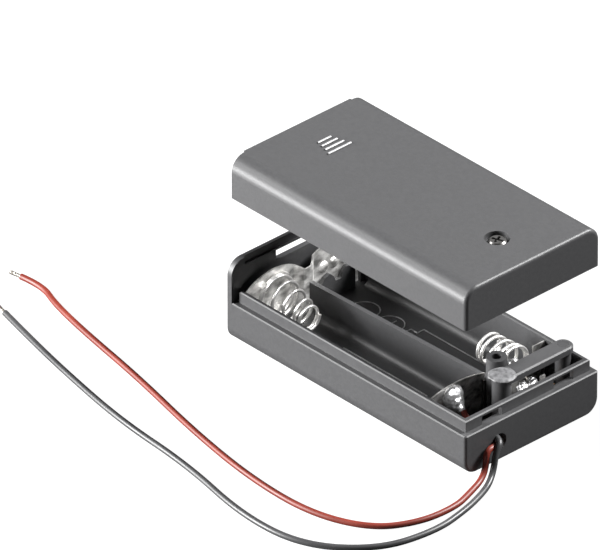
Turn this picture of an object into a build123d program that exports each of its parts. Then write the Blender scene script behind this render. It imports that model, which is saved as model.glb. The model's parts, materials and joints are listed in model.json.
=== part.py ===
from build123d import *
import math
import os

# Box, millimetres; +X towards the lead end, +Y towards the far long side
box_length = 68.5
box_width = 36.0
closed_height = 18.5
ledge_height = 9.25
floor_thick = 1.3
ledge_width = 1.25
lip_thick = 1.05
lip_height = 2.55
lip_gap = 0.95
base_edge_radius = 3.2
lid_edge_radius = 3.3
end_edge_radius = 0.6
rim_edge = 0.22
end_wall = 1.2
bay_corner_radius = 2.0
divider_thick = 1.0
divider_low_drop = 0.9
divider_high_rise = 0.45

# Fits
lid_side_fit = 0.10
lid_end_fit = 0.10
screw_fit = 0.05
post_fit = 0.05
slider_fit = 0.06
plate_fit = 0.05
leg_fit = 0.05

# Window and rebate in the tall end wall
end_window_long = 12.0
end_window_high = 2.25
end_window_drop = 2.05
rebate_deep = 0.45
rebate_high = 1.7
rebate_side = 0.3

# Windows in the lip at the lead end
lip_window_long = 5.4
lip_window_high = 1.9
lip_window_y = 9.65

# Lid
lid_lift = 24.5
lid_wall = 1.15
lid_top = 1.6
lid_top_end_radius = 0.8
lid_bar_lengths = [3.5, 4.2, 5.0, 6.2]
lid_bar_first = 8.75
lid_bar_pitch = 1.45
lid_bar_wide = 0.6
lid_bar_high = 0.28

# Screw and its boss
screw_inset = 10.2
boss_diameter = 4.2
boss_top_drop = 2.9
boss_hole_deep = 9.0
screw_diameter = 2.0
screw_head_diameter = 3.75
screw_head_thick = 1.1
screw_head_sink = 0.3
screw_length = 7.5
screw_recess_diameter = 5.2
cross_long = 2.4
cross_wide = 0.55
cross_deep = 0.7

# Cells and contacts
cell_axis_height = 8.4
plate_thick = 0.35
closed_plate_inset = 1.25
closed_plate_step = 1.3
lead_plate_inset = 13.2
lobe_top = 13.7
lobe_arc_radius = 12.0
positive_top = 11.9
positive_arc_radius = 25.0
negative_top = 9.4
negative_tab_top = 11.2
negative_tab_wide = 3.2
bump_radius = 1.35
bump_high = 0.7
bump_pitch = 2.75
spring_wire = 0.7
series_spring_reach = 10.9
series_spring_drop = 0.7
series_base_radius = 4.5
series_tip_radius = 2.35
series_turns = 6.0
negative_spring_reach = 8.5
negative_spring_rise = 0.4
negative_base_radius = 3.6
negative_tip_radius = 2.85
negative_turns = 5.0

# Slide switch under the clamp bar
switch_inset = 6.05
knob_proud = 1.6
knob_long = 3.2
knob_wide = 3.3
knob_groove = 0.32
knob_neck_long = 2.6
knob_neck_wide = 2.4
switch_travel = 3.0
floor_slot_long = 8.8
floor_slot_wide = 4.2
frame_long = 11.2
frame_wide = 3.9
frame_high = 4.2
frame_sheet = 0.35
ear_margin = 1.3
leg_gap = 0.75
post_diameter = 2.2
board_thick = 1.0
slider_end_gap = 0.45
slider_body_high = 2.1
clip_thick = 0.25
terminal_pitch = 2.75
terminal_wide = 1.2
terminal_thick = 0.4
terminal_high = 2.9
bar_top = 14.35
bar_thick = 1.5
bar_wide = 4.0
bar_edge = 0.3
near_leg_diameter = 3.9
far_leg_diameter = 3.2
stake_diameter = 6.3
stake_high = 0.7

# Leads
lead_hole_diameter = 3.8
lead_hole_y = -8.8
lead_hole_height = 4.3
lead_diameter = 1.3
core_diameter = 0.8
bare_end = 3.0
lead_sides = 8

# Derived places
under = knob_proud
half_long = box_length / 2
half_wide = box_width / 2
ledge_z = under + ledge_height
top_z = under + closed_height
floor_z = under + floor_thick
wall_in_x = -half_long + end_wall
wall_thick = ledge_width + lip_thick
inner_half_wide = half_wide - wall_thick
inner_end_x = half_long - wall_thick
bay_wide = inner_half_wide - divider_thick / 2
bay_y = divider_thick / 2 + bay_wide / 2
axis_z = under + cell_axis_height
screw_x = half_long - screw_inset
boss_top_z = top_z - boss_top_drop
closed_plate_x = wall_in_x + closed_plate_inset
lead_plate_x = half_long - lead_plate_inset
switch_x = half_long - switch_inset
divider_start_x = closed_plate_x + plate_thick + closed_plate_step + 0.9
bar_top_z = under + bar_top
far_post_y = inner_half_wide - far_leg_diameter / 2 - leg_fit
post_half_spacing = frame_long / 2 + near_leg_diameter / 2 + leg_gap
switch_y = far_post_y - post_half_spacing
near_post_y = switch_y - post_half_spacing
ear_reach = post_half_spacing + ear_margin
divider_low_z = ledge_z - divider_low_drop
divider_high_z = ledge_z + divider_high_rise
hole_z = under + lead_hole_height


def slab(x0, x1, y0, y1, z0, z1):
    return Pos((x0 + x1) / 2, (y0 + y1) / 2, (z0 + z1) / 2) * Box(x1 - x0, y1 - y0, z1 - z0)


def along_x(sketch, x0, x1):
    return extrude(Plane.YZ.offset(x0) * sketch, amount=x1 - x0)


def upright(diameter, x, y, z0, z1):
    return Pos(x, y, z0) * extrude(Circle(diameter / 2), amount=z1 - z0)


def rounded_foot(wide, z0, z1, radius):
    sketch = Pos(0, (z0 + z1) / 2) * Rectangle(wide, z1 - z0)
    return fillet(sketch.vertices().group_by(Axis.Y)[0], radius)


def rounded_head(wide, z0, z1, radius):
    sketch = Pos(0, (z0 + z1) / 2) * Rectangle(wide, z1 - z0)
    return fillet(sketch.vertices().group_by(Axis.Y)[-1], radius)


def arched_plate(y0, y1, z0, top, radius):
    mid = (y0 + y1) / 2
    half = (y1 - y0) / 2
    fall = radius - math.sqrt(radius**2 - half**2)
    outline = [
        Line((y0, top - fall), (y0, z0)),
        Line((y0, z0), (y1, z0)),
        Line((y1, z0), (y1, top - fall)),
        ThreePointArc((y1, top - fall), (mid, top), (y0, top - fall)),
    ]
    return make_face(Wire(outline))


def dome(x, y, z, radius, high, sign):
    cap_radius = (radius**2 + high**2) / (2 * high)
    edge_angle = math.atan2(radius, cap_radius - high)
    outline = [(0, 0), (0, radius)]
    for part in (0.68, 0.36):
        angle = part * edge_angle
        outline.append((high - cap_radius + cap_radius * math.cos(angle), cap_radius * math.sin(angle)))
    outline.append((high, 0))
    cap = revolve(make_face(Polyline(*outline, close=True)), Axis.X)
    return Pos(x, y, z) * Rot(0, 0, 0 if sign > 0 else 180) * cap


def coil_spring(x_base, sign, y, z, reach, base_radius, tip_radius, turns):
    seat = 0.6
    closed = 1.0
    closed_rise = 1.12 * spring_wire
    run = reach - spring_wire
    pitch = (run - closed_rise) / (turns - seat - closed)
    per_turn = 12
    points = []
    for i in range(int(round(turns * per_turn)) + 1):
        t = i / per_turn
        if t <= seat:
            rise = 0.0
            radius = base_radius
        elif t <= turns - closed:
            rise = pitch * (t - seat)
            part = (t - seat) / (turns - closed - seat)
            radius = base_radius + part * (tip_radius - base_radius)
        else:
            rise = run - closed_rise * (turns - t) / closed
            radius = tip_radius
        angle = 2 * math.pi * t
        x = x_base + sign * (spring_wire / 2 + rise)
        points.append((x, y + radius * math.cos(angle), z + radius * math.sin(angle)))
    path = Polyline(*points)
    section = Plane(origin=path @ 0, z_dir=path % 0) * RegularPolygon(spring_wire / 2, 6)
    return sweep(section, path=path, transition=Transition.RIGHT)


def rounded_route(points, name):
    corners = [Vector(*p) for p in points]
    edges = []
    radii = []
    last = corners[0]
    for i in range(1, len(corners) - 1):
        before = corners[i - 1] - corners[i]
        after = corners[i + 1] - corners[i]
        run = min(before.length, after.length)
        u = before.normalized()
        v = after.normalized()
        turn = math.pi - math.acos(max(-1.0, min(1.0, u.dot(v))))
        reach = 0.45 * run
        radius = reach / math.tan(turn / 2)
        radii.append(round(radius, 2))
        start = corners[i] + u * reach
        stop = corners[i] + v * reach
        inward = (u + v).normalized()
        middle = corners[i] + inward * (radius / math.cos(turn / 2) - radius)
        edges.append(Line(last, start))
        edges.append(ThreePointArc(start, middle, stop))
        last = stop
    edges.append(Line(last, corners[-1]))
    path = Wire(edges)
    print(name, "length", round(path.length, 1), "bend radii", radii)
    return path


def tube(path, diameter):
    corner_radius = diameter / 2 * math.sqrt(2 * math.pi / lead_sides / math.sin(2 * math.pi / lead_sides))
    section = Plane(origin=path @ 0, z_dir=path % 0) * RegularPolygon(corner_radius, lead_sides)
    body = sweep(section, path=path)
    share = body.volume / (math.pi * diameter**2 / 4 * path.length)
    print("  volume against section times length", round(share, 3))
    return body


# Base tray: rounded trough with a tall end wall
foot = rounded_foot(box_width, under, ledge_z, base_edge_radius)
foot = chamfer(foot.vertices().group_by(Axis.Y)[-1], rim_edge)
base = along_x(foot, -half_long, half_long)
lead_face = base.faces().sort_by(Axis.X)[-1]
lead_edges = [e for e in lead_face.edges() if e.center().Z < ledge_z - rim_edge]
base = fillet(lead_edges, end_edge_radius)
lead_face = base.faces().sort_by(Axis.X)[-1]
base = chamfer(lead_face.edges().sort_by(Axis.Z)[-1], rim_edge)
wall_sketch = Pos(0, under + closed_height / 2) * Rectangle(box_width, closed_height)
wall_sketch = fillet(wall_sketch.vertices().group_by(Axis.Y)[-1], lid_edge_radius)
wall_sketch = fillet(wall_sketch.vertices().group_by(Axis.Y)[0], base_edge_radius)
base += along_x(wall_sketch, -half_long, wall_in_x)
lip_out = inner_half_wide + lip_thick
lip_end_x = inner_end_x + lip_thick
lip = slab(wall_in_x + lip_gap, lip_end_x, -lip_out, lip_out, ledge_z - 0.5, ledge_z + lip_height)
base += chamfer(lip.faces().sort_by(Axis.Z)[-1].edges(), rim_edge)

# Hollows: closed end, two bays, switch room
lip_top_z = ledge_z + lip_height
base -= slab(wall_in_x, divider_start_x, -inner_half_wide, inner_half_wide, floor_z, lip_top_z)
base -= slab(lead_plate_x - 0.8, inner_end_x, -inner_half_wide, inner_half_wide, floor_z, lip_top_z)
bay = rounded_foot(bay_wide, floor_z, lip_top_z, bay_corner_radius)
for side in (-1, 1):
    base -= along_x(Pos(side * bay_y, 0) * bay, divider_start_x, lead_plate_x - 0.8)
above_divider = Polyline(
    (divider_start_x, divider_low_z), (lead_plate_x, divider_high_z), (lead_plate_x, lip_top_z),
    (divider_start_x, lip_top_z), close=True)
base -= extrude(Plane.XZ * make_face(above_divider), amount=divider_thick, both=True)
base -= slab(wall_in_x, wall_in_x + lip_gap, -inner_half_wide, inner_half_wide, ledge_z - 1, ledge_z + 1)

mouth = Pos((wall_in_x + inner_end_x) / 2, 0, lip_top_z + rim_edge) * Rectangle(
    inner_end_x - wall_in_x + 2 * rim_edge, 2 * inner_half_wide + 4 * rim_edge)
base -= extrude(mouth, amount=-2 * rim_edge, taper=45) & slab(
    wall_in_x + 0.3, half_long, -half_wide, half_wide, ledge_z, top_z)

# End window and rebate for the lid's edge
window_top = top_z - end_window_drop
base -= slab(-half_long - 1, wall_in_x + 0.01, -end_window_long / 2, end_window_long / 2,
             window_top - end_window_high, window_top)
rebate_half = half_wide - lid_edge_radius - rebate_side
base -= slab(wall_in_x - rebate_deep, wall_in_x + 0.01, -rebate_half, rebate_half, top_z - rebate_high, top_z + 1)

# Lip windows at the lead end
for side in (-1, 1):
    mid = side * lip_window_y
    base -= slab(inner_end_x - 0.01, lip_end_x + 0.01, mid - lip_window_long / 2, mid + lip_window_long / 2,
                 ledge_z, ledge_z + lip_window_high)

# Guides that hold the contact plates upright
guide_top = ledge_z + 0.9
back_x = closed_plate_x - plate_fit
front_x = closed_plate_x + plate_thick + plate_fit
for side in (-1, 1):
    outer = side * inner_half_wide
    inner = side * (inner_half_wide - 1.0)
    y0 = min(outer, inner)
    y1 = max(outer, inner)
    base += slab(wall_in_x, back_x, y0, y1, floor_z, guide_top)
    base += slab(front_x, front_x + 0.8, y0, y1, floor_z, guide_top)
    near = lead_plate_x - plate_fit
    far = lead_plate_x + plate_thick + plate_fit
    base += slab(near - 0.8, near, y0, y1, floor_z, ledge_z)
    base += slab(far, far + 0.9, y0, y1, floor_z, ledge_z)
    rib0 = min(side * divider_thick / 2, side * (divider_thick / 2 + 1.0))
    rib1 = max(side * divider_thick / 2, side * (divider_thick / 2 + 1.0))
    base += slab(near - 0.8, near, rib0, rib1, floor_z, divider_high_z)
    base += slab(far, far + 0.8, rib0, rib1, floor_z, divider_high_z)
base += slab(lead_plate_x - 1.0, screw_x, -divider_thick / 2, divider_thick / 2, floor_z, divider_high_z)

# Polarity guards in front of the two positive contacts
guard_outline = [
    (-4.6, floor_z), (4.6, floor_z), (4.6, axis_z - 3.0), (3.6, axis_z - 1.6), (2.2, axis_z - 1.2),
    (1.2, axis_z - 2.2), (0.8, axis_z - 3.4), (-0.8, axis_z - 3.4), (-1.2, axis_z - 2.2),
    (-2.2, axis_z - 1.2), (-3.6, axis_z - 1.6), (-4.6, axis_z - 3.0),
]
guard = make_face(Polyline(*guard_outline, close=True))
guard = fillet(guard.vertices().filter_by(lambda v: v.Y > floor_z + 0.1), 0.45)
guard_x = closed_plate_x + plate_thick + 0.5
base += along_x(Pos(bay_y, 0) * guard, guard_x, guard_x + 0.9)
base += along_x(Pos(-bay_y, 0) * guard, lead_plate_x - 1.6, lead_plate_x - 0.7)

# Screw boss, switch posts, knob slot and lead hole
base += upright(boss_diameter, screw_x, 0, floor_z, boss_top_z)
base -= upright(screw_diameter + 2 * screw_fit, screw_x, 0, boss_top_z - boss_hole_deep, boss_top_z + 1)
base += upright(post_diameter, switch_x, near_post_y, floor_z, bar_top_z)
base += upright(post_diameter, switch_x, far_post_y, floor_z, bar_top_z)
base -= slab(switch_x - floor_slot_wide / 2, switch_x + floor_slot_wide / 2,
             switch_y - floor_slot_long / 2, switch_y + floor_slot_long / 2, under - 1, floor_z + 0.01)
lead_hole = Pos(lead_hole_y, hole_z) * Circle(lead_hole_diameter / 2)
base -= along_x(lead_hole, inner_end_x - 1, half_long + 1)
lead_in = Plane.YZ.offset(inner_end_x) * Pos(lead_hole_y, hole_z) * Circle(lead_hole_diameter / 2 + 0.5)
lead_in_small = Plane.YZ.offset(inner_end_x + 0.6) * Pos(lead_hole_y, hole_z) * Circle(lead_hole_diameter / 2)
base -= loft([lead_in.face(), lead_in_small.face()])

# Lid, drawn in its closed place and then raised
lid_x0 = wall_in_x + lid_end_fit
lid = along_x(rounded_head(box_width, ledge_z, top_z, lid_edge_radius), lid_x0, half_long)
lid_face = lid.faces().sort_by(Axis.X)[-1]
lid_edges = [e for e in lid_face.edges() if e.center().Z > ledge_z + 0.01]
lid = fillet(lid_edges, lid_top_end_radius)
lid_in = lid_wall
lid_hollow = rounded_head(box_width - 2 * lid_in, ledge_z - 1, top_z - lid_top, lid_edge_radius - lid_wall)
lid -= along_x(lid_hollow, lid_x0 - 1, half_long - lid_in)
tongue_half = rebate_half - lid_side_fit
lid += slab(lid_x0 - rebate_deep, lid_x0 + 0.5, -tongue_half, tongue_half, top_z - rebate_high + lid_end_fit, top_z)
lid += upright(screw_recess_diameter + 2.4, screw_x, 0, boss_top_z + lid_end_fit, top_z - lid_top + 0.1)
head_top_z = top_z - screw_head_sink
seat_z = head_top_z - screw_head_thick
lid -= upright(screw_recess_diameter, screw_x, 0, seat_z, top_z + 1)
lid -= upright(screw_diameter + 2 * screw_fit, screw_x, 0, boss_top_z - 1, top_z)
for i, long in enumerate(lid_bar_lengths):
    x = -half_long + lid_bar_first + i * lid_bar_pitch
    ridge = Wire([
        ThreePointArc((lid_bar_wide / 2, 0), (0, lid_bar_high), (-lid_bar_wide / 2, 0)),
        Line((-lid_bar_wide / 2, 0), (-lid_bar_wide / 2, -0.2)), Line((-lid_bar_wide / 2, -0.2), (lid_bar_wide / 2, -0.2)),
        Line((lid_bar_wide / 2, -0.2), (lid_bar_wide / 2, 0))])
    lid += Pos(x, 0, top_z) * extrude(Plane.XZ * make_face(ridge), amount=long / 2, both=True)
lid = Pos(0, 0, lid_lift) * lid

# Lid screw with a cross recess
head_radius = screw_head_diameter / 2
shank_radius = screw_diameter / 2
shank_end = seat_z - screw_length
screw_outline = Polyline(
    (0, shank_end), (shank_radius * 0.3, shank_end), (shank_radius, shank_end + 1.2), (shank_radius, seat_z),
    (head_radius, seat_z), (head_radius, head_top_z - 0.35), (head_radius - 0.35, head_top_z),
    (0, head_top_z), close=True)
screw = Pos(screw_x, 0, 0) * revolve(Plane.XZ * make_face(screw_outline), Axis.Z)
for turn in (0, 90):
    arm = Rot(0, 0, turn + 20) * Box(cross_long, cross_wide, 2 * cross_deep)
    screw -= Pos(screw_x, 0, head_top_z) * arm
screw = Pos(0, 0, lid_lift) * screw

# Series plate: one folded strip cut to a two-lobed outline
fold_y = 1.0
x_near = closed_plate_x
x_mid = closed_plate_x + closed_plate_step
half_plate = inner_half_wide - plate_fit
strip_line = [
    (x_near, -half_plate), (x_near, -fold_y - 1.5), (x_mid, -fold_y), (x_mid, fold_y),
    (x_near, fold_y + 1.5), (x_near, half_plate),
    (x_near + plate_thick, half_plate), (x_near + plate_thick, fold_y + 1.5 + plate_thick * 0.6),
    (x_mid + plate_thick, fold_y + plate_thick * 0.6), (x_mid + plate_thick, -fold_y - plate_thick * 0.6),
    (x_near + plate_thick, -fold_y - 1.5 - plate_thick * 0.6), (x_near + plate_thick, -half_plate),
]
plate_foot = floor_z
strip = Pos(0, 0, plate_foot) * extrude(make_face(Polyline(*strip_line, close=True)), amount=closed_height)
lobe_z = under + lobe_top
near_lobe = arched_plate(-half_plate, -divider_thick / 2, plate_foot, lobe_z, lobe_arc_radius)
far_lobe = Pos(bay_y * 2, 0) * near_lobe
neck = Pos(0, (plate_foot + lobe_z - 2.6) / 2) * Rectangle(6.0, lobe_z - 2.6 - plate_foot)
lobes = along_x(near_lobe + far_lobe + neck, x_near - 1, x_mid + 2)
series_plate = strip & lobes
front_of_plate = x_near + plate_thick
for step in (-1, 0, 1):
    series_plate += dome(front_of_plate - 0.01, bay_y + step * bump_pitch, axis_z, bump_radius, bump_high, 1)
series_axis_z = axis_z - series_spring_drop
for angle in (60, 130, 200):
    reach = series_base_radius + spring_wire / 2 + 0.08
    claw_y = -bay_y + (reach + 0.15) * math.cos(math.radians(angle))
    claw_z = series_axis_z + (reach + 0.15) * math.sin(math.radians(angle))
    stem = Box(spring_wire + 0.45, 0.3, 1.4)
    fold = Pos((spring_wire + 0.45) / 2 - 0.15, -0.3, 0) * Box(0.3, 0.9, 1.4)
    claw = Pos((spring_wire + 0.45) / 2 - 0.02, 0, 0) * (stem + fold)
    series_plate += Pos(front_of_plate, claw_y, claw_z) * Rot(angle, 0, 0) * claw

# Plates at the lead end
positive_y0 = -half_plate
positive_y1 = -divider_thick / 2 - plate_fit
positive_sketch = arched_plate(positive_y0, positive_y1, plate_foot, under + positive_top, positive_arc_radius)
positive_plate = along_x(positive_sketch, lead_plate_x, lead_plate_x + plate_thick)
for step in (-1, 0, 1):
    positive_plate += dome(lead_plate_x + 0.01, step * bump_pitch - bay_y, axis_z, bump_radius, bump_high, -1)
negative_sketch = Pos(bay_y, (plate_foot + under + negative_top) / 2) * Rectangle(
    half_plate - divider_thick / 2 - plate_fit, under + negative_top - plate_foot)
tab_y = half_plate - negative_tab_wide / 2
tab_low = under + negative_top - 1.0
tab_high = under + negative_tab_top
negative_sketch += Pos(tab_y, (tab_low + tab_high) / 2) * Rectangle(negative_tab_wide, tab_high - tab_low)
negative_plate = along_x(negative_sketch, lead_plate_x, lead_plate_x + plate_thick)

# Springs
series_spring = coil_spring(front_of_plate, 1, -bay_y, series_axis_z, series_spring_reach,
                            series_base_radius, series_tip_radius, series_turns)
negative_spring = coil_spring(lead_plate_x, -1, bay_y, axis_z + negative_spring_rise, negative_spring_reach,
                              negative_base_radius, negative_tip_radius, negative_turns)

# Slide switch: eared frame, board, terminals
frame_top = floor_z + frame_high
ears = Pos(switch_x, switch_y, floor_z) * extrude(
    Rot(0, 0, 90) * SlotOverall(2 * ear_reach, frame_wide), amount=frame_sheet)
shell = slab(switch_x - frame_wide / 2, switch_x + frame_wide / 2,
             switch_y - frame_long / 2, switch_y + frame_long / 2, floor_z, frame_top)
hollow_x = frame_wide / 2 - frame_sheet
hollow_y = frame_long / 2 - frame_sheet
shell -= slab(switch_x - hollow_x, switch_x + hollow_x, switch_y - hollow_y, switch_y + hollow_y,
              floor_z + frame_sheet, frame_top + 1)
switch_frame = ears + shell
knob_window = knob_neck_long + switch_travel + 0.8
switch_frame -= slab(switch_x - knob_neck_wide / 2 - slider_fit, switch_x + knob_neck_wide / 2 + slider_fit,
                     switch_y - knob_window / 2, switch_y + knob_window / 2, under, floor_z + frame_sheet + 0.01)
for y in (near_post_y, far_post_y):
    switch_frame -= upright(post_diameter + 2 * post_fit, switch_x, y, under, floor_z + 1)
board_z = frame_top
board_top = board_z + board_thick
switch_board = slab(switch_x - frame_wide / 2, switch_x + frame_wide / 2,
                    switch_y - frame_long / 2, switch_y + frame_long / 2, board_z, board_top)
terminals = {}
for name, step in (("near", -1), ("middle", 0), ("far", 1)):
    y = switch_y + step * terminal_pitch
    blade = slab(switch_x - terminal_thick / 2, switch_x + terminal_thick / 2,
                 y - terminal_wide / 2, y + terminal_wide / 2, board_z - 0.3, board_top + terminal_high)
    foot = slab(switch_x - 0.9, switch_x + 0.9, y - terminal_wide / 2, y + terminal_wide / 2,
                board_z - 0.3, board_z)
    switch_board -= blade
    terminals[name] = blade + foot

# Slider at its ON place, with the ribbed knob through the floor
slide_y = switch_y + switch_travel / 2
body_z = floor_z + frame_sheet
body_half_x = hollow_x - slider_fit
slider_body_long = 2 * hollow_y - switch_travel - 2 * slider_end_gap
slider = slab(switch_x - body_half_x, switch_x + body_half_x, slide_y - slider_body_long / 2,
              slide_y + slider_body_long / 2, body_z, body_z + slider_body_high)
knob_x0 = switch_x - knob_wide / 2
knob_x1 = switch_x + knob_wide / 2
knob_top = floor_z - 0.2
slider += slab(knob_x0, knob_x1, slide_y - knob_long / 2, slide_y + knob_long / 2, 0, knob_top)
slider += slab(switch_x - knob_neck_wide / 2, switch_x + knob_neck_wide / 2, slide_y - knob_neck_long / 2,
               slide_y + knob_neck_long / 2, knob_top - 0.2, body_z + 0.5)
for i in range(3):
    groove_y = slide_y + (i - 1) * knob_long / 4
    slider -= slab(knob_x0 - 1, knob_x1 + 1, groove_y - knob_groove / 2, groove_y + knob_groove / 2, -1, 0.35)
clip_low = body_z + slider_body_high
clip_high = board_z - 0.3 - 0.04
clip_half = terminal_pitch / 2 + terminal_wide / 2
contact_clip = slab(switch_x - 1.1, switch_x + 1.1, slide_y - clip_half, slide_y + clip_half,
                    clip_low, clip_low + clip_thick)
for side in (-1, 1):
    leaf = Polyline(
        (side * clip_half, clip_low), (side * (clip_half - 0.9), clip_high),
        (side * (clip_half - 1.3), clip_high), (side * (clip_half - 0.45), clip_low), close=True)
    contact_clip += along_x(Pos(slide_y, 0) * make_face(leaf), switch_x - 0.6, switch_x + 0.6)

# Clamp bar over the switch and the melted head of its near post
bar_low = bar_top_z - bar_thick
clamp_bar = Pos(switch_x, switch_y, bar_low) * extrude(
    Rot(0, 0, 90) * SlotOverall(2 * post_half_spacing + bar_wide, bar_wide), amount=bar_thick)
clamp_bar = chamfer(clamp_bar.edges().group_by(Axis.Z)[-1], bar_edge)
clamp_bar += upright(near_leg_diameter, switch_x, near_post_y, floor_z + frame_sheet, bar_low + 0.2)
clamp_bar += upright(far_leg_diameter, switch_x, far_post_y, floor_z + frame_sheet, bar_low + 0.2)
for y in (near_post_y, far_post_y):
    clamp_bar -= upright(post_diameter + 2 * post_fit, switch_x, y, floor_z, bar_top_z + 1)
stake_radius = stake_diameter / 2
stake_outline = make_face(Polyline(
    (0, bar_top_z), (stake_radius - 0.25, bar_top_z), (stake_radius, bar_top_z + 0.25),
    (stake_radius - 0.5, bar_top_z + 0.55), (stake_radius * 0.5, bar_top_z + stake_high * 0.8),
    (0, bar_top_z + stake_high), close=True))
stake_head = Pos(switch_x, near_post_y, 0) * revolve(Plane.XZ * stake_outline, Axis.Z)
stake_head -= upright(boss_diameter + 2 * post_fit, screw_x, 0, bar_top_z - 1, boss_top_z + 1)

# Leads: routes start at the solder joints and end at the bare ends
lie = lead_diameter / 2 + 0.05
red_points = [
    (lead_plate_x + 3.6, lead_hole_y - 0.7, under + 7.3),
    (lead_plate_x + 6.9, lead_hole_y - 1.3, under + 4.8),
    (inner_end_x - 0.65, lead_hole_y - 0.95, hole_z - 0.45),
    (half_long + 1.15, lead_hole_y - 1.1, hole_z - 0.15),
    (half_long + 1.45, lead_hole_y - 4.0, hole_z - 1.3),
    (half_long + 1.85, lead_hole_y - 5.4, lie + 1.1),
    (half_long + 3.35, lead_hole_y - 9.6, lie),
    (half_long + 5.35, lead_hole_y - 16.7, lie),
    (half_long + 4.65, lead_hole_y - 25.7, lie),
    (half_long - 0.25, lead_hole_y - 34.2, lie),
    (half_long - 12.25, lead_hole_y - 39.2, lie),
    (half_long - 29.25, lead_hole_y - 39.1, lie),
    (half_long - 49.25, lead_hole_y - 35.8, lie),
    (half_long - 71.25, lead_hole_y - 30.5, lie),
    (half_long - 90.75, lead_hole_y - 26.9, lie),
    (half_long - 102.75, lead_hole_y - 24.1, lie),
    (half_long - 109.25, lead_hole_y - 21.4, lie),
    (half_long - 114.85, lead_hole_y - 22.2, lie),
]
terminal_top = board_top + terminal_high
near_terminal_y = switch_y - terminal_pitch
lane_x = inner_end_x - 0.8
black_points = [
    (switch_x + 1.5, near_terminal_y - 0.9, terminal_top - 1.0),
    (lane_x - 0.15, near_terminal_y - 3.6, terminal_top - 1.2),
    (lane_x, lead_hole_y + 4.2, hole_z + 3.0),
    (lane_x + 0.05, lead_hole_y + 0.45, hole_z + 0.3),
    (half_long + 1.95, lead_hole_y + 0.45, hole_z + 0.6),
    (half_long + 2.65, lead_hole_y - 2.8, hole_z + 0.5),
    (half_long + 3.35, lead_hole_y - 4.8, lie + 1.5),
    (half_long + 4.95, lead_hole_y - 8.4, lie),
    (half_long + 7.15, lead_hole_y - 15.2, lie),
    (half_long + 9.05, lead_hole_y - 25.2, lie),
    (half_long + 6.35, lead_hole_y - 38.2, lie),
    (half_long - 4.85, lead_hole_y - 48.2, lie),
    (half_long - 20.75, lead_hole_y - 49.4, lie),
    (half_long - 41.25, lead_hole_y - 45.0, lie),
    (half_long - 62.25, lead_hole_y - 43.6, lie),
    (half_long - 83.25, lead_hole_y - 39.5, lie),
    (half_long - 98.75, lead_hole_y - 35.8, lie),
    (half_long - 107.05, lead_hole_y - 33.6, lie),
]
red_path = rounded_route(red_points, "red lead")
black_path = rounded_route(black_points, "black lead")
red_lead = tube(red_path, lead_diameter)
black_lead = tube(black_path, lead_diameter)


def bare_tip(path):
    end = path @ 1
    along = path % 1
    return extrude(Plane(origin=end, z_dir=along) * Circle(core_diameter / 2), amount=bare_end)


red_tip = bare_tip(red_path)
black_tip = bare_tip(black_path)


def blob(x, y, z, radius):
    outline = [(0, -radius)]
    for angle in (-38, 38):
        outline.append((radius * math.cos(math.radians(angle)), radius * math.sin(math.radians(angle))))
    outline.append((0, radius))
    return Pos(x, y, z) * revolve(Plane.XZ * make_face(Polyline(*outline, close=True)), Axis.Z)


# Solder joints, the bare core of the red lead and the link to the switch
back_of_plate = lead_plate_x + plate_thick
joint_y = lead_hole_y - 0.6
joint_z = under + 9.0
joint_radius = 2.5
core_start = Vector(*red_points[0])
core_end = Vector(back_of_plate + 0.9, joint_y, joint_z)
core_axis = (core_start - core_end).normalized()
core_long = (core_start - core_end).length
red_core = extrude(Plane(origin=core_end, z_dir=core_axis) * Circle(core_diameter / 2), amount=core_long)
red_core -= red_lead
positive_joint = dome(back_of_plate, joint_y, joint_z, joint_radius, 2.0, 1) - red_core
link_z = under + negative_top - 1.2
link_x0 = back_of_plate + 0.5
middle_y = switch_y
link_path = rounded_route([
    (link_x0, middle_y + 1.3, link_z), (link_x0 + 2.4, middle_y + 1.0, terminal_top - 0.2),
    (switch_x - terminal_thick / 2 - 0.05, middle_y, terminal_top - 0.7)], "link")
link_wire = tube(link_path, 0.6)
negative_joint = dome(back_of_plate, middle_y + 1.3, link_z, 1.3, 1.1, 1) - link_wire
middle_joint = blob(switch_x, middle_y, terminal_top - 0.6, 1.3) - terminals["middle"] - link_wire
near_joint = blob(switch_x + 0.5, near_terminal_y - 0.2, terminal_top - 0.7, 1.5)
near_joint = near_joint - terminals["near"] - black_lead

parts = {
    "base_tray": base,
    "lid": lid,
    "lid_screw": screw,
    "series_plate": series_plate,
    "series_spring": series_spring,
    "positive_plate": positive_plate,
    "negative_plate": negative_plate,
    "negative_spring": negative_spring,
    "switch_frame": switch_frame,
    "switch_board": switch_board,
    "terminal_near": terminals["near"],
    "terminal_middle": terminals["middle"],
    "terminal_far": terminals["far"],
    "switch_slider": slider,
    "contact_clip": contact_clip,
    "clamp_bar": clamp_bar,
    "stake_head": stake_head,
    "red_lead": red_lead,
    "red_tip": red_tip,
    "red_core": red_core,
    "black_lead": black_lead,
    "black_tip": black_tip,
    "link_wire": link_wire,
    "positive_joint": positive_joint,
    "negative_joint": negative_joint,
    "near_joint": near_joint,
    "middle_joint": middle_joint,
}

os.makedirs("parts", exist_ok=True)
for node, shape in parts.items():
    solids = shape.solids()
    print(node, "solids", len(solids), "volume", round(sum(s.volume for s in solids), 2))
    export_step(Compound(children=solids) if len(solids) > 1 else solids[0], "parts/" + node + ".step")
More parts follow.
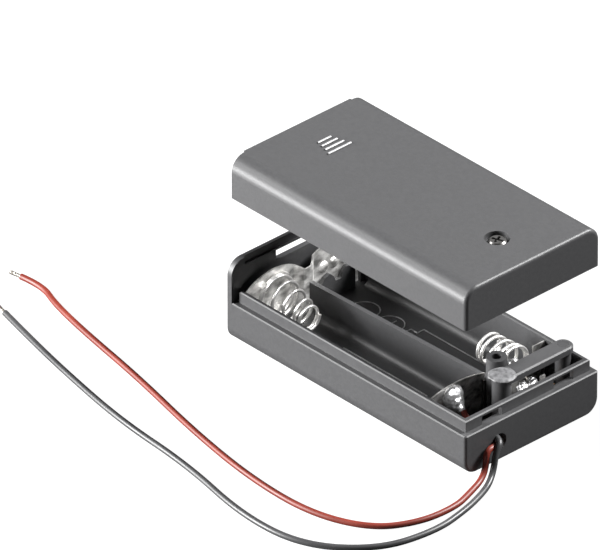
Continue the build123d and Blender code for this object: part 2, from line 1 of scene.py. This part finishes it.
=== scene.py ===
import bpy
import json
import math
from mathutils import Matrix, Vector


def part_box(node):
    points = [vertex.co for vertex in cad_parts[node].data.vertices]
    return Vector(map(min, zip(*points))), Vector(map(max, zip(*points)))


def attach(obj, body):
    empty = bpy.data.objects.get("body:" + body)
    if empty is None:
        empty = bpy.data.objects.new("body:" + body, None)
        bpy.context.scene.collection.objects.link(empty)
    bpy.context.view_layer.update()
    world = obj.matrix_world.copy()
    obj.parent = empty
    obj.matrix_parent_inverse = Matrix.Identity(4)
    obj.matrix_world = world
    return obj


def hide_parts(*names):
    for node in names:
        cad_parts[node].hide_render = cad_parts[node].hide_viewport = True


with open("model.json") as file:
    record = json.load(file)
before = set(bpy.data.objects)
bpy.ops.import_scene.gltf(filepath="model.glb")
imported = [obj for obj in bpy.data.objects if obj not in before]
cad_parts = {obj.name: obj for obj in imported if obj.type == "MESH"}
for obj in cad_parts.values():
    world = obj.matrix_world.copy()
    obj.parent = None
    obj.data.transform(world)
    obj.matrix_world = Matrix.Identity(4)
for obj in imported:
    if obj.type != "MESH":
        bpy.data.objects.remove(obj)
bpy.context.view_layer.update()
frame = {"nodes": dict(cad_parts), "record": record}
print("frame loaded,", len(frame["nodes"]), "nodes")


# camera far off with a very long lens, so edges stay parallel
cameraSet = {
    "azimuth": 47.06,
    "elevation": 32.23,
    "distance": 4.174,
    "lens": 1269.3,
    "sensor": 36,
    "clipEnd": 20,
    "target": (-0.02405, -0.00791, 0.01725),
}


def addCamera(s):
    az = math.radians(s["azimuth"])
    el = math.radians(s["elevation"])
    toEye = Vector((math.sin(az) * math.cos(el), -math.cos(az) * math.cos(el), math.sin(el)))
    eye = Vector(s["target"]) + toEye * s["distance"]
    bpy.ops.object.camera_add(location=eye, rotation=toEye.to_track_quat("Z", "Y").to_euler())
    camera = bpy.context.object
    camera.data.sensor_fit = "HORIZONTAL"
    camera.data.sensor_width = s["sensor"]
    camera.data.lens = s["lens"]
    camera.data.clip_end = s["clipEnd"]
    bpy.context.scene.camera = camera


addCamera(cameraSet)
print("camera placed")


# leads: control points in metres from the solder joint out to the bare end
leadSet = {
    "diameter": 0.0013,
    "redLength": 0.165,
    "blackLength": 0.175,
    "along": 14,  # steps between points
    "around": 5,
    "redRoute": [
        (0.02465, -0.0095, 0.0089), (0.02795, -0.0101, 0.0064), (0.0313, -0.0096, 0.0052),
        (0.03495, -0.0102, 0.0060), (0.0352, -0.0132, 0.0062), (0.0354, -0.0134, 0.0032),
        (0.0363, -0.0154, 0.0010), (0.0378, -0.0200, 0.0007), (0.0396, -0.0255, 0.0007),
        (0.0389, -0.0345, 0.0007), (0.0340, -0.0430, 0.0007), (0.0220, -0.0480, 0.0007),
        (0.0050, -0.0479, 0.0007), (-0.0150, -0.0446, 0.0007), (-0.0370, -0.0393, 0.0007),
        (-0.0565, -0.0357, 0.0007), (-0.0685, -0.0329, 0.0007), (-0.0750, -0.0302, 0.0007),
        (-0.0806, -0.0310, 0.0007),
    ],
    "blackRoute": [
        (0.0297, 0.0021, 0.0100), (0.0310, -0.0006, 0.0098), (0.03115, -0.0046, 0.0089),
        (0.0312, -0.0087, 0.0068), (0.0358, -0.0098, 0.0074), (0.0363, -0.0117, 0.0056),
        (0.0367, -0.0127, 0.0020), (0.0382, -0.0154, 0.0007), (0.0399, -0.0192, 0.0007),
        (0.0416, -0.0245, 0.0007), (0.0433, -0.0340, 0.0007), (0.0406, -0.0470, 0.0007),
        (0.0294, -0.0570, 0.0007), (0.0135, -0.0582, 0.0007), (-0.0070, -0.0538, 0.0007),
        (-0.0280, -0.0524, 0.0007), (-0.0490, -0.0483, 0.0007), (-0.0645, -0.0446, 0.0007),
        (-0.0728, -0.0424, 0.0007),
    ],
}


def addLead(name, route, node):
    curve = bpy.data.curves.new(name, "CURVE")
    curve.dimensions = "3D"
    spline = curve.splines.new("NURBS")
    spline.points.add(len(route) - 1)
    for point, place in zip(spline.points, route):
        point.co = (*place, 1)
        point.radius = leadSet["diameter"] / 2  # thickness is here, so the box of the curve is true
    spline.order_u = 3  # set after the points are there
    spline.use_endpoint_u = True
    spline.resolution_u = leadSet["along"]
    curve.bevel_depth = 1
    curve.bevel_resolution = leadSet["around"]
    curve.use_fill_caps = True
    lead = bpy.data.objects.new(name, curve)
    bpy.context.collection.objects.link(lead)
    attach(lead, "base")
    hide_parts(node)
    return lead


redLead = addLead("redLead", leadSet["redRoute"], "red_lead")
blackLead = addLead("blackLead", leadSet["blackRoute"], "black_lead")
print("leads laid")


# tools shared by the pieces below
wireSet = {
    "along": 4,  # steps between points
    "around": 3,
    "weld": 0.000001,
    "crease": math.radians(50),
}


def selectOnly(piece):
    bpy.ops.object.select_all(action="DESELECT")
    piece.select_set(True)
    bpy.context.view_layer.objects.active = piece


def drawWire(name, runs, radius, closed=False, smooth=True):
    # round wire along each run of points, turned into a mesh
    curve = bpy.data.curves.new(name, "CURVE")
    curve.dimensions = "3D"
    curve.bevel_depth = radius
    curve.bevel_resolution = wireSet["around"]
    curve.use_fill_caps = True
    for run in runs:
        spline = curve.splines.new("NURBS" if smooth else "POLY")
        spline.points.add(len(run) - 1)
        for point, place in zip(spline.points, run):
            point.co = (*place, 1)
        spline.use_cyclic_u = closed
        if smooth:
            spline.order_u = 3
            spline.use_endpoint_u = not closed
            spline.resolution_u = wireSet["along"]
    wire = bpy.data.objects.new(name, curve)
    bpy.context.collection.objects.link(wire)
    selectOnly(wire)
    bpy.ops.object.convert(target="MESH")
    wire = bpy.context.object
    bpy.ops.object.mode_set(mode="EDIT")
    bpy.ops.mesh.select_all(action="SELECT")
    bpy.ops.mesh.remove_doubles(threshold=wireSet["weld"])
    bpy.ops.mesh.normals_make_consistent(inside=False)
    bpy.ops.object.mode_set(mode="OBJECT")
    bpy.ops.object.shade_smooth_by_angle(angle=wireSet["crease"])
    return wire


def joinInto(first, others):
    selectOnly(first)
    for piece in others:
        piece.select_set(True)
    bpy.ops.object.join()
    return bpy.context.object


def fuse(piece, voxel, rounds):
    # overlapping shells become one skin
    selectOnly(piece)
    remesh = piece.modifiers.new("oneSkin", "REMESH")
    remesh.mode = "VOXEL"
    remesh.voxel_size = voxel
    bpy.ops.object.modifier_apply(modifier="oneSkin")
    soften = piece.modifiers.new("soften", "SMOOTH")
    soften.factor = 0.5
    soften.iterations = rounds
    bpy.ops.object.modifier_apply(modifier="soften")


def cutFlat(piece, place, away):
    # takes off what lies beyond a plane and closes the cut
    selectOnly(piece)
    bpy.ops.object.mode_set(mode="EDIT")
    bpy.ops.mesh.select_all(action="SELECT")
    bpy.ops.mesh.bisect(plane_co=place, plane_no=away, clear_outer=True, use_fill=True)
    bpy.ops.mesh.select_all(action="SELECT")
    bpy.ops.mesh.normals_make_consistent(inside=False)
    bpy.ops.object.mode_set(mode="OBJECT")


# bare ends: one straight strand with the others twisted round it
tipSet = {
    "length": 0.003,
    "strand": 0.00027,
    "around": 6,
    "turns": 0.9,
    "steps": 12,
    "flare": 0.25,
    "uneven": 0.06,  # how much shorter a strand may be
    "mix": 2.4,
}


def addTip(name, route, node):
    s = tipSet
    end = Vector(route[-1])
    along = (end - Vector(route[-2])).normalized()
    side = along.orthogonal().normalized()
    other = along.cross(side)
    runs = [[end + along * s["length"] * k / s["steps"] for k in range(s["steps"] + 1)]]
    for strand in range(s["around"]):
        length = s["length"] * (1 - s["uneven"] + s["uneven"] * math.cos(strand * s["mix"]))
        run = []
        for k in range(s["steps"] + 1):
            t = k / s["steps"]
            angle = 2 * math.pi * (strand / s["around"] + s["turns"] * t)
            out = s["strand"] * (1 + s["flare"] * t * t)
            run.append(end + along * length * t + out * (math.cos(angle) * side + math.sin(angle) * other))
        runs.append(run)
    tip = drawWire(name, runs, s["strand"] / 2)
    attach(tip, "base")
    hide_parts(node)
    return tip


redTip = addTip("redTip", leadSet["redRoute"], "red_tip")
blackTip = addTip("blackTip", leadSet["blackRoute"], "black_tip")
print("bare ends twisted")


# springs, each one wire wound round X from its plate
springSet = {
    "wire": 0.0007,
    "perTurn": 16,
    "widen": 1.0195,      # the smooth line runs inside its control points
    "closedPitch": 1.12,  # in wires, where turns lie on each other
    "coils": {
        "series_spring": {
            "piece": "seriesSpring", "out": 1, "turns": 6, "base": 0.0045, "tip": 0.0026,
            "seat": 1.5, "closed": 1.2, "sag": 0.0009},
        "negative_spring": {
            "piece": "negativeSpring", "out": -1, "turns": 5, "base": 0.0036, "tip": 0.0030,
            "seat": 1.0, "closed": 1.2, "sag": -0.0004},
    },
}


def windSpring(node, c):
    low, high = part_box(node)
    wire = springSet["wire"]
    start = low[0] if c["out"] > 0 else high[0]
    midY = (low[1] + high[1]) / 2
    midZ = high[2] - wire / 2 - c["base"]
    run = high[0] - low[0] - wire
    closedRise = springSet["closedPitch"] * wire
    rising = c["turns"] - c["seat"] - c["closed"]
    points = []
    for k in range(c["turns"] * springSet["perTurn"] + 1):
        turn = k / springSet["perTurn"]
        part = min(max((turn - c["seat"]) / rising, 0), 1)
        seatRise = closedRise * min(turn / c["seat"], 1)
        rise = seatRise + part * (run - closedRise - seatRise)
        if turn > c["turns"] - c["closed"]:
            rise = run - closedRise * (c["turns"] - turn) / c["closed"]
        radius = (c["base"] + part * (c["tip"] - c["base"])) * springSet["widen"]
        angle = 2 * math.pi * turn
        x = start + c["out"] * (wire / 2 + rise)
        y = midY + radius * math.cos(angle)
        z = midZ - c["sag"] * part * part + radius * math.sin(angle)
        points.append((x, y, z))
    spring = drawWire(c["piece"], [points], wire / 2)
    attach(spring, "base")
    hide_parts(node)
    return spring


springs = [windSpring(node, c) for node, c in springSet["coils"].items()]
print("springs wound")


# solder lumps and the melted head: balls fused into one skin, then roughened
lumpMake = {"ballCuts": 4, "soften": 4, "cloudDepth": 2, "crease": math.radians(60)}
lumpSet = {
    "positive_joint": {
        "piece": "positiveLump", "slot": "solder", "voxel": 0.00016, "rough": 0.0003, "grain": 0.0011,
        "flatX": 0.0214,
        "balls": [
            ((0.0214, -0.0094, 0.0107), (0.0020, 0.0025, 0.0025)),
            ((0.0228, -0.0094, 0.0099), (0.0013, 0.0016, 0.0017)),
            ((0.0239, -0.0095, 0.0092), (0.0009, 0.0009, 0.0010)),
        ],
    },
    "negative_joint": {
        "piece": "negativeLump", "slot": "solder", "voxel": 0.00012, "rough": 0.0002, "grain": 0.0008,
        "flatX": 0.0214,
        "balls": [
            ((0.0214, 0.00705, 0.0112), (0.0011, 0.0013, 0.0013)),
            ((0.0219, 0.00700, 0.0111), (0.0007, 0.0006, 0.0006)),
        ],
    },
    "near_joint": {
        "piece": "nearLump", "slot": "solder", "voxel": 0.00012, "rough": 0.0004, "grain": 0.0007,
        "balls": [
            ((0.0285, 0.0029, 0.0105), (0.0012, 0.0013, 0.0013)),
            ((0.0292, 0.0023, 0.0101), (0.0009, 0.0009, 0.0009)),
            ((0.0281, 0.0032, 0.0115), (0.0006, 0.0008, 0.0006)),
        ],
    },
    "middle_joint": {
        "piece": "middleLump", "slot": "solder", "voxel": 0.00012, "rough": 0.0004, "grain": 0.0007,
        "balls": [
            ((0.0281, 0.0057, 0.0105), (0.0011, 0.0012, 0.0012)),
            ((0.0277, 0.0060, 0.0108), (0.0006, 0.0007, 0.0006)),
            ((0.0283, 0.0056, 0.0114), (0.0005, 0.0007, 0.0006)),
        ],
    },
    "stake_head": {
        "piece": "stakeHead", "slot": "melted_plastic", "voxel": 0.00016, "rough": 0.00035, "grain": 0.0012,
        "flatZ": 0.01595,
        "balls": [
            ((0.0284, -0.0026, 0.01595), (0.0029, 0.0029, 0.0006)),
            ((0.0279, -0.0042, 0.01600), (0.0016, 0.0013, 0.0005)),
            ((0.0295, -0.0019, 0.01600), (0.0014, 0.0015, 0.0005)),
            ((0.0287, -0.0028, 0.01620), (0.0013, 0.0012, 0.0005)),
        ],
    },
}


def addLump(node, s):
    balls = []
    for place, radii in s["balls"]:
        bpy.ops.mesh.primitive_ico_sphere_add(subdivisions=lumpMake["ballCuts"], radius=1,
                                              location=place, scale=radii)
        bpy.ops.object.transform_apply(location=True, rotation=True, scale=True)
        balls.append(bpy.context.object)
    lump = joinInto(balls[0], balls[1:])
    lump.name = s["piece"]
    fuse(lump, s["voxel"], lumpMake["soften"])
    cloud = bpy.data.textures.new(s["piece"] + "Cloud", "CLOUDS")
    cloud.noise_scale = s["grain"]
    cloud.noise_depth = lumpMake["cloudDepth"]
    roughen = lump.modifiers.new("roughen", "DISPLACE")
    roughen.texture = cloud
    roughen.texture_coords = "LOCAL"
    roughen.strength = s["rough"]
    roughen.mid_level = 0.5
    bpy.ops.object.modifier_apply(modifier="roughen")
    if "flatX" in s:
        cutFlat(lump, (s["flatX"], 0, 0), (-1, 0, 0))
    if "flatZ" in s:
        cutFlat(lump, (0, 0, s["flatZ"]), (0, 0, -1))
    selectOnly(lump)
    bpy.ops.object.shade_smooth_by_angle(angle=lumpMake["crease"])
    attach(lump, "base")
    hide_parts(node)
    return lump


lumps = {node: addLump(node, s) for node, s in lumpSet.items()}
print("solder and melted head shaped")


# raised moulded lines: bars on the lid, ON and OFF under the box, cell outlines on the bay floors
gripSet = {
    "radius": 0.0003,
    "proud": 0.00028,
    "bite": 0.00003,  # kept below the line's middle
    "xs": [-0.0255, -0.02405, -0.0226, -0.02115],
    "longs": [0.0035, 0.0042, 0.0050, 0.0062],
}


def addGrip(s):
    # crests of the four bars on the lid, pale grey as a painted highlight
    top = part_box("lid")[1][2] - s["proud"]
    runs = [[(x, -long / 2, top), (x, long / 2, top)] for x, long in zip(s["xs"], s["longs"])]
    grip = drawWire("lidGrip", runs, s["radius"], smooth=False)
    cutFlat(grip, (0, 0, top - s["bite"]), (0, 0, -1))
    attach(grip, "lid")
    return grip


def ring(place, radiusX, radiusY, count):
    points = []
    for k in range(count):
        angle = 2 * math.pi * k / count
        x = place[0] + radiusX * math.cos(angle)
        y = place[1] + radiusY * math.sin(angle)
        points.append((x, y, place[2]))
    return points


def raiseLines(name, straight, rounds, s, away):
    # bars and hoops fused into one skin, then cut off just inside the wall
    bars = drawWire(name + "Bars", straight, s["radius"], smooth=False)
    hoops = drawWire(name + "Hoops", rounds, s["radius"], closed=True)
    lines = joinInto(bars, [hoops])
    lines.name = name
    fuse(lines, s["voxel"], s["soften"])
    cutFlat(lines, (0, 0, s["surface"] + away * s["bite"]), (0, 0, away))
    bpy.ops.object.shade_smooth_by_angle(angle=wireSet["crease"])
    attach(lines, "base")
    return lines


letterSet = {
    "surface": 0.0016,
    "radius": 0.00019,
    "voxel": 0.00008,
    "soften": 2,
    "bite": 0.00003,
    "foot": 0.0216,    # along X
    "tall": 0.0026,
    "start": -0.0009,  # left edge along Y, seen from below
    "gap": 0.00055,
    "dashGap": 0.00075,
    "ringSteps": 16,
    "word": "OFF-ON",
    "widths": {"O": 0.0019, "F": 0.00135, "N": 0.00175, "-": 0.0019},
    "strokes": {
        "F": [[(0, 0), (0, 1)], [(0, 1), (1, 1)], [(0, 0.53), (0.85, 0.53)]],
        "N": [[(0, 0), (0, 1)], [(0, 1), (1, 0)], [(1, 0), (1, 1)]],
        "-": [[(0, 0.5), (1, 0.5)]],
    },
}


def addLetters(s):
    straight = []
    rounds = []
    y = s["start"]
    z = s["surface"]
    for k, letter in enumerate(s["word"]):
        wide = s["widths"][letter]
        if letter == "O":
            middle = (s["foot"] + s["tall"] / 2, y + wide / 2, z)
            rounds.append(ring(middle, s["tall"] / 2, wide / 2, s["ringSteps"]))
        else:
            for stroke in s["strokes"][letter]:
                straight.append([(s["foot"] + v * s["tall"], y + u * wide, z) for u, v in stroke])
        beside = letter == "-" or s["word"][k + 1:k + 2] == "-"
        y += wide + (s["dashGap"] if beside else s["gap"])
    return raiseLines("switchLetters", straight, rounds, s, 1)


markSet = {
    "surface": 0.0029,
    "radius": 0.00016,
    "voxel": 0.0001,
    "soften": 1,
    "bite": 0.00003,
    "bays": [(0.0081, 1), (-0.0081, -1)],  # middle of each bay and which way its cell points
    "nub": -0.0110,
    "shoulder": -0.0091,
    "nubHalf": 0.00185,
    "bodyHalf": 0.0036,
    "bodyEnd": 0.0150,
    "rings": [(-0.0224, 0.0031), (-0.0152, 0.00305)],  # the second has the plus in it
    "ringSteps": 20,
    "armHalf": 0.0019,
}


def addFloorMarks(s):
    straight = []
    rounds = []
    z = s["surface"]
    arm = s["armHalf"]
    outline = [
        (s["nub"], -s["nubHalf"]), (s["nub"], s["nubHalf"]), (s["shoulder"], s["nubHalf"]),
        (s["shoulder"], s["bodyHalf"]), (s["bodyEnd"], s["bodyHalf"]), (s["bodyEnd"], -s["bodyHalf"]),
        (s["shoulder"], -s["bodyHalf"]), (s["shoulder"], -s["nubHalf"]),
    ]
    for midY, way in s["bays"]:
        for first, second in zip(outline, outline[1:] + outline[:1]):
            straight.append([(way * p[0], midY + p[1], z) for p in (first, second)])
        for x, radius in s["rings"]:
            rounds.append(ring((way * x, midY, z), radius, radius, s["ringSteps"]))
        plusX = way * s["rings"][1][0]
        straight.append([(plusX - arm, midY, z), (plusX + arm, midY, z)])
        straight.append([(plusX, midY - arm, z), (plusX, midY + arm, z)])
    return raiseLines("floorMarks", straight, rounds, s, -1)


lidGrip = addGrip(gripSet)
letters = addLetters(letterSet)
floorMarks = addFloorMarks(markSet)
print("moulded lines raised")


# finishes: one noise clouds colour and gloss, a finer one gives the bump
noiseSet = {
    "cloudDetail": 4,
    "grainDetail": 3,
    "tintSpan": (0.35, 0.65),
    "glossSpan": (0.3, 0.7),
    "bump": 0.28,
}
finishSet = {
    "black_plastic": {
        "name": "satinPlastic", "low": (0.056, 0.056, 0.058), "high": (0.064, 0.064, 0.066),
        "cloud": 1400, "roughness": (0.44, 0.48), "metallic": 0, "grain": 4200, "deep": 0.00006},
    "melted_plastic": {
        "name": "meltedPlastic", "low": (0.09, 0.09, 0.093), "high": (0.21, 0.21, 0.216),
        "cloud": 900, "roughness": (0.40, 0.60), "metallic": 0, "grain": 1500, "deep": 0.00015},
    # pale grey in place of light: a painted highlight on raised lines that are the same black plastic as
    # the case
    "painted_highlight_plastic": {
        "name": "paintedHighlightPlastic", "low": (0.34, 0.34, 0.345), "high": (0.52, 0.52, 0.525),
        "cloud": 1200, "roughness": (0.34, 0.46), "metallic": 0, "grain": 5000, "deep": 0.00003},
    "knob_plastic": {
        "name": "knobPlastic", "low": (0.012, 0.012, 0.012), "high": (0.02, 0.02, 0.02),
        "cloud": 500, "roughness": (0.35, 0.50), "metallic": 0, "grain": 6000, "deep": 0.00004},
    "board_brown": {
        "name": "boardBrown", "low": (0.13, 0.07, 0.03), "high": (0.22, 0.12, 0.05),
        "cloud": 700, "roughness": (0.50, 0.65), "metallic": 0, "grain": 3000, "deep": 0.00005},
    "nickel_plate": {
        "name": "nickelPlate", "low": (0.22, 0.217, 0.21), "high": (0.88, 0.87, 0.85),
        "cloud": 560, "roughness": (0.34, 0.48), "metallic": 0.72, "grain": 900, "deep": 0.00008,
        "stretch": (1, 0.6, 1)},
    "spring_wire": {
        "name": "springWire", "low": (0.74, 0.73, 0.71), "high": (0.84, 0.83, 0.82),
        "cloud": 500, "roughness": (0.26, 0.36), "metallic": 0.85, "grain": 4000, "deep": 0.00002},
    "screw_metal": {
        "name": "screwMetal", "low": (0.16, 0.155, 0.15), "high": (0.24, 0.235, 0.23),
        "cloud": 600, "roughness": (0.30, 0.42), "metallic": 1, "grain": 4000, "deep": 0.00003},
    "solder": {
        "name": "solder", "low": (0.34, 0.34, 0.34), "high": (0.78, 0.78, 0.79),
        "cloud": 1300, "roughness": (0.32, 0.46), "metallic": 0.9, "grain": 900, "deep": 0.0001},
    "tinned_wire": {
        "name": "tinnedWire", "low": (0.36, 0.33, 0.29), "high": (0.52, 0.49, 0.45),
        "cloud": 700, "roughness": (0.25, 0.40), "metallic": 0.85, "grain": 5000, "deep": 0.00002},
    "red_insulation": {
        "name": "redInsulation", "low": (0.165, 0.021, 0.012), "high": (0.215, 0.031, 0.018),
        "cloud": 120, "roughness": (0.42, 0.52), "metallic": 0, "grain": 3500, "deep": 0.00003},
    "black_insulation": {
        "name": "blackInsulation", "low": (0.044, 0.044, 0.046), "high": (0.060, 0.060, 0.062),
        "cloud": 120, "roughness": (0.34, 0.44), "metallic": 0, "grain": 3500, "deep": 0.00003},
}


def startFinish(name, roughness, metallic=0):
    finish = bpy.data.materials.new(name)
    finish.use_nodes = True
    shader = finish.node_tree.nodes["Principled BSDF"]
    shader.inputs["Roughness"].default_value = roughness
    shader.inputs["Metallic"].default_value = metallic
    return finish, shader


def addNoise(nodes, links, scale, detail, stretch):
    place = nodes.new("ShaderNodeTexCoord")
    mapping = nodes.new("ShaderNodeMapping")
    mapping.inputs["Scale"].default_value = stretch
    noise = nodes.new("ShaderNodeTexNoise")
    noise.inputs["Scale"].default_value = scale
    noise.inputs["Detail"].default_value = detail
    links.new(place.outputs["Object"], mapping.inputs["Vector"])
    links.new(mapping.outputs["Vector"], noise.inputs["Vector"])
    return noise.outputs["Fac"]


def addTint(nodes, links, source, colors):
    ramp = nodes.new("ShaderNodeValToRGB")
    for stop, place, color in zip(ramp.color_ramp.elements, noiseSet["tintSpan"], colors):
        stop.position = place
        stop.color = (*color, 1)
    links.new(source, ramp.inputs["Fac"])
    return ramp.outputs["Color"]


def addGloss(nodes, links, source, roughness):
    span = nodes.new("ShaderNodeMapRange")
    span.inputs["From Min"].default_value = noiseSet["glossSpan"][0]
    span.inputs["From Max"].default_value = noiseSet["glossSpan"][1]
    span.inputs["To Min"].default_value = roughness[0]
    span.inputs["To Max"].default_value = roughness[1]
    links.new(source, span.inputs["Value"])
    return span.outputs["Result"]


def addBump(nodes, links, source, deep):
    bump = nodes.new("ShaderNodeBump")
    bump.inputs["Strength"].default_value = noiseSet["bump"]
    bump.inputs["Distance"].default_value = deep
    links.new(source, bump.inputs["Height"])
    return bump.outputs["Normal"]


def makeFinish(s):
    finish, shader = startFinish(s["name"], s["roughness"][0], s["metallic"])
    nodes = finish.node_tree.nodes
    links = finish.node_tree.links
    stretch = s.get("stretch", (1, 1, 1))
    cloud = addNoise(nodes, links, s["cloud"], noiseSet["cloudDetail"], stretch)
    grain = addNoise(nodes, links, s["grain"], noiseSet["grainDetail"], stretch)
    links.new(addTint(nodes, links, cloud, (s["low"], s["high"])), shader.inputs["Base Color"])
    links.new(addGloss(nodes, links, cloud, s["roughness"]), shader.inputs["Roughness"])
    links.new(addBump(nodes, links, grain, s["deep"]), shader.inputs["Normal"])
    return finish


def dress(piece, slot):
    piece.data.materials.clear()
    piece.data.materials.append(finishes[slot])


finishes = {slot: makeFinish(s) for slot, s in finishSet.items()}
for part in frame["record"]["subparts"]:
    node = frame["nodes"][part["node"]]
    for materialSlot in node.material_slots:
        materialSlot.material = finishes[part["material_slot"]]
dress(redLead, "red_insulation")
dress(blackLead, "black_insulation")
for tip in (redTip, blackTip):
    dress(tip, "tinned_wire")
for spring in springs:
    dress(spring, "spring_wire")
for node, lump in lumps.items():
    dress(lump, lumpSet[node]["slot"])
dress(letters, "black_plastic")
# the cell outlines and the lid's bar crests get pale grey as a painted highlight
dress(floorMarks, "painted_highlight_plastic")
dress(lidGrip, "painted_highlight_plastic")
print("finishes done")


# floor and soft light, some lamps for a few pieces only
stageSet = {
    "floor": 3.0,
    "floorColor": (0.25, 0.25, 0.25),
    "floorRough": 0.9,
    "floorGlow": 1.0,
    "white": (1, 1, 1, 1),
    "world": 0.03,
    "lamps": [
        {"name": "softKey", "place": (-0.72, -0.88, 0.22), "size": 0.52, "power": 43.5, "skip": "flatTops"},
        {"name": "lidKey", "place": (-0.72, -0.88, 0.22), "size": 0.52, "power": 43.0,
         "only": "flatTops", "glossy": False},
        {"name": "edgeLamp", "place": (-0.72, -0.90, -0.02), "size": 0.28, "power": 22.0,
         "only": "lidShell", "diffuse": False, "pastLid": True},
        {"name": "topLamp", "place": (-0.76, -0.70, 0.68), "size": 0.40, "power": 9.0},
        {"name": "sheenLamp", "place": (-0.80, 0.75, 0.72), "size": 0.80, "power": 1.5,
         "only": "topNodes", "pastLid": True},
        {"name": "ridgeLamp", "place": (0.32, 0.67, 0.67), "size": 0.30, "power": 25.0, "only": "offFloor"},
        {"name": "fillLamp", "place": (0.55, -0.15, 0.80), "size": 0.30, "power": 14.0,
         "only": "metalNodes", "pastLid": True},
    ],
    "flatTops": ["lid", "clamp_bar"],  # no glare from the low key on these
    "lidShell": ["lid"],               # gleam on its near edge, from below the level of its top
    "topNodes": [
        "lid", "lidGrip", "lid_screw", "clamp_bar", "stake_head", "positive_plate", "negative_plate",
    ],
    "metalNodes": [
        "series_plate", "series_spring", "negative_spring", "terminal_near", "terminal_middle",
        "terminal_far", "positive_joint", "near_joint", "middle_joint", "link_wire",
    ],
    "offFloor": list(frame["nodes"]) + ["lidGrip", "switchLetters", "floorMarks"],
    "lidNodes": ["lid", "lid_screw"],
}

# what a lamp finds under each name: the piece that is seen
litPieces = dict(frame["nodes"])
litPieces.update(lumps)
litPieces.update(zip(springSet["coils"], springs))
litPieces.update({"red_lead": redLead, "black_lead": blackLead, "red_tip": redTip, "black_tip": blackTip})
litPieces.update({"lidGrip": lidGrip, "switchLetters": letters, "floorMarks": floorMarks})


def lampGroup(name, pieces):
    group = bpy.data.collections.new(name)
    for piece in pieces:
        group.objects.link(piece)
    return group


def addFloor(s):
    bpy.ops.mesh.primitive_plane_add(size=s["floor"], location=(0, 0, 0))
    floor = bpy.context.object
    floor.name = "floor"
    finish, shader = startFinish("paleFloor", s["floorRough"])
    shader.inputs["Base Color"].default_value = (*s["floorColor"], 1)
    shader.inputs["Emission Color"].default_value = s["white"]
    shader.inputs["Emission Strength"].default_value = s["floorGlow"]
    floor.data.materials.append(finish)
    # the glow whitens the floor without lighting the object
    floor.light_linking.receiver_collection = lampGroup("onlyFloor", [floor])


def addLamp(s):
    toward = Vector(s["place"]).to_track_quat("Z", "Y").to_euler()
    bpy.ops.object.light_add(type="AREA", location=s["place"], rotation=toward)
    lamp = bpy.context.object
    lamp.name = s["name"]
    lamp.data.shape = "SQUARE"
    lamp.data.size = s["size"]
    lamp.data.energy = s["power"]
    lamp.visible_glossy = s.get("glossy", True)
    lamp.visible_diffuse = s.get("diffuse", True)
    if "skip" in s:
        spared = lampGroup(s["name"] + "Spared", [litPieces[node] for node in stageSet[s["skip"]]])
        for member in spared.collection_objects:
            member.light_linking.link_state = "EXCLUDE"
        lamp.light_linking.receiver_collection = spared
    if "only" in s:
        lit = [litPieces[node] for node in stageSet[s["only"]]]
        lamp.light_linking.receiver_collection = lampGroup(s["name"] + "Lit", lit)
    if s.get("pastLid"):
        # neither the raised lid nor the lit pieces shade this lamp
        clear = stageSet["lidNodes"] + stageSet[s["only"]]
        shading = [piece for node, piece in frame["nodes"].items() if node not in clear]
        lamp.light_linking.blocker_collection = lampGroup(s["name"] + "Shading", shading)


def addWorld(s):
    world = bpy.data.worlds.new("softRoom")
    bpy.context.scene.world = world
    world.use_nodes = True
    background = world.node_tree.nodes["Background"]
    background.inputs["Color"].default_value = s["white"]
    background.inputs["Strength"].default_value = s["world"]


addFloor(stageSet)
for lampSet in stageSet["lamps"]:
    addLamp(lampSet)
addWorld(stageSet)
bpy.context.scene.view_settings.view_transform = "Standard"
print("stage lit")

bpy.context.view_layer.update()
